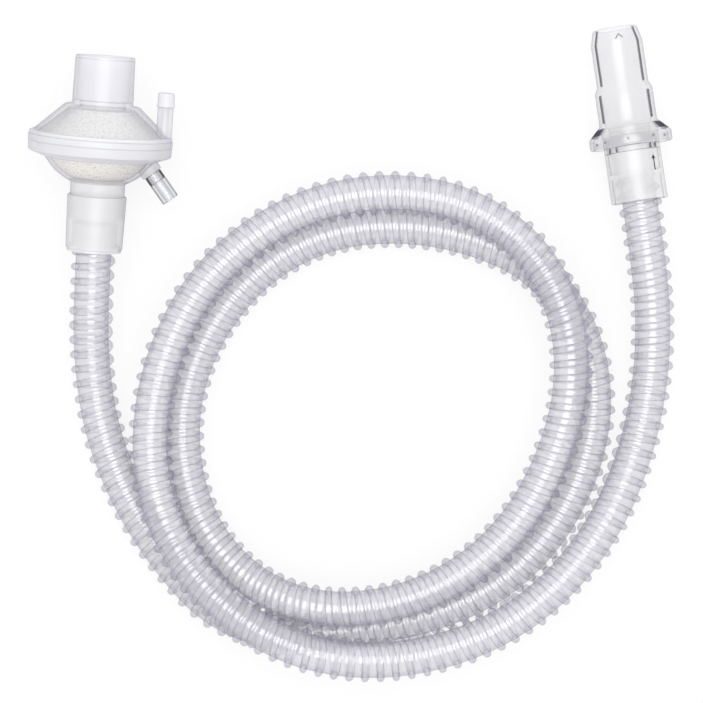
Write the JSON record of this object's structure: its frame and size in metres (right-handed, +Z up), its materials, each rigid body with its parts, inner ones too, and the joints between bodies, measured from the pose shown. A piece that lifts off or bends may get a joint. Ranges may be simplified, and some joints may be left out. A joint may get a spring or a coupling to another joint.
{
  "type": "ventilator breathing circuit",
  "caption": "Single-limb breathing circuit: a ribbed clear hose in loose turns with a breathing filter at one end and a clear one-way exhalation valve at the other.",
  "frame": {"origin": "on the table, under the middle of the box round the filter and the valve", "axes": "+X from the filter to the valve, +Y the way the filter and valve mouths point, +Z up from the table"},
  "size_m": [0.2701, 0.2745, 0.0599],
  "materials": {
    "frosted_housing": "frosted clear moulding",
    "clear_housing": "clear glossy moulding",
    "white_band": "glossy white",
    "filter_felt": "white felt",
    "exchanger_paper": "crimped off-white paper",
    "milky_cuff": "milky translucent",
    "hose_film": "clear film with a raised spiral bead",
    "silicone": "matt translucent silicone"
  },
  "bodies": {
    "circuit": {"filter_upper_housing": "frosted_housing", "filter_lower_housing": "clear_housing", "filter_weld_band": "white_band", "filter_pad": "filter_felt", "moisture_exchanger": "exchanger_paper", "sampling_port_cap": "frosted_housing", "slanted_port_stub": "clear_housing", "filter_cuff": "milky_cuff", "hose": "hose_film", "valve_inlet_body": "milky_cuff", "valve_outlet_body": "clear_housing"},
    "shutter": {"valve_shutter": "silicone"}
  },
  "joints": [
    {"name": "shutter_lift", "type": "slide", "parent": "circuit", "child": "shutter", "axis": [-0.1454, 0.9894, 0], "range_m": [0, 0.0021]}
  ]
}
